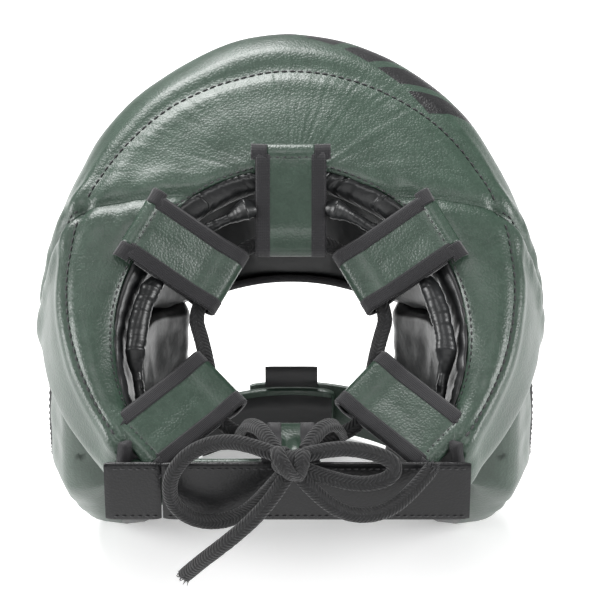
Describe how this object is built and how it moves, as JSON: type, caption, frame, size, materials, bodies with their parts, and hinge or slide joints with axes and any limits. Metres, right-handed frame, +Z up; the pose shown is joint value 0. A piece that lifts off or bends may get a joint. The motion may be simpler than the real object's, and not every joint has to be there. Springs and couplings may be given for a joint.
{
  "type": "boxing headgear",
  "caption": "Padded leather head guard with open face and crown, ear openings, a laced crown with tabs, a hook-and-loop rear closure and a two-part chin strap.",
  "frame": {"origin": "on the plane the cheek pads stand on, under the middle of the padding's box", "axes": "+X to the wearer's left, the face looks along -Y, +Z up to the crown"},
  "size_m": [0.246, 0.2555, 0.239],
  "materials": {
    "green_leather": "grained, semi-matt",
    "foam": "closed-cell padding",
    "black_lining": "smooth, slightly glossy",
    "binding_tape": "woven tape, matt",
    "lace": "flat braid",
    "black_strap": "grained, stitched",
    "loop_fastener": "napped loops",
    "hook_fastener": "moulded hooks",
    "label_satin": "satin weave"
  },
  "bodies": {
    "headgear": {"front_skin": "green_leather", "left_wing_skin": "green_leather", "right_wing_skin": "green_leather", "left_cheek_skin": "green_leather", "right_cheek_skin": "green_leather", "front_foam": "foam", "left_wing_foam": "foam", "right_wing_foam": "foam", "left_cheek_foam": "foam", "right_cheek_foam": "foam", "front_lining": "black_lining", "left_wing_lining": "black_lining", "right_wing_lining": "black_lining", "left_cheek_lining": "black_lining", "right_cheek_lining": "black_lining", "tab_front": "green_leather", "tape_front": "binding_tape", "tab_front_left": "green_leather", "tape_front_left": "binding_tape", "tab_front_right": "green_leather", "tape_front_right": "binding_tape", "tab_back_left": "green_leather", "tape_back_left": "binding_tape", "tab_back_right": "green_leather", "tape_back_right": "binding_tape", "tab_rear": "green_leather", "tape_rear": "binding_tape", "left_ear_binding": "binding_tape", "right_ear_binding": "binding_tape", "left_wing_binding": "binding_tape", "right_wing_binding": "binding_tape", "brow_binding": "binding_tape", "crown_binding": "black_lining", "rear_tongue": "green_leather", "rear_loop_patch": "loop_fastener", "rear_hook_patch": "hook_fastener", "rear_strap": "black_strap", "lace_ring": "lace", "lace_knot": "lace", "lace_bow_left": "lace", "lace_bow_right": "lace", "lace_tail_left": "lace", "lace_tail_right": "lace", "lace_lead_left": "lace", "lace_lead_right": "lace", "chin_inner_strap": "green_leather", "chin_loop_patch": "loop_fastener"},
    "pull_tab": {"rear_pull_tab": "black_strap"},
    "chin_flap": {"chin_outer_strap": "black_strap", "chin_hook_patch": "hook_fastener"},
    "label": {"care_label": "label_satin"}
  },
  "joints": [
    {"name": "pull_tab_lift", "type": "hinge", "parent": "headgear", "child": "pull_tab", "pos_m": [0.0603, 0.1164, 0.102], "axis": [0, 0, 1], "range_deg": [0, 75]},
    {"name": "chin_flap_open", "type": "hinge", "parent": "headgear", "child": "chin_flap", "pos_m": [-0.05749, -0.06755, 0.018], "axis": [0, 0, -1], "range_deg": [0, 80]},
    {"name": "label_fold", "type": "hinge", "parent": "headgear", "child": "label", "pos_m": [0, -0.0794, 0.0345], "axis": [1, 0, 0], "range_deg": [-50, 50]}
  ]
}
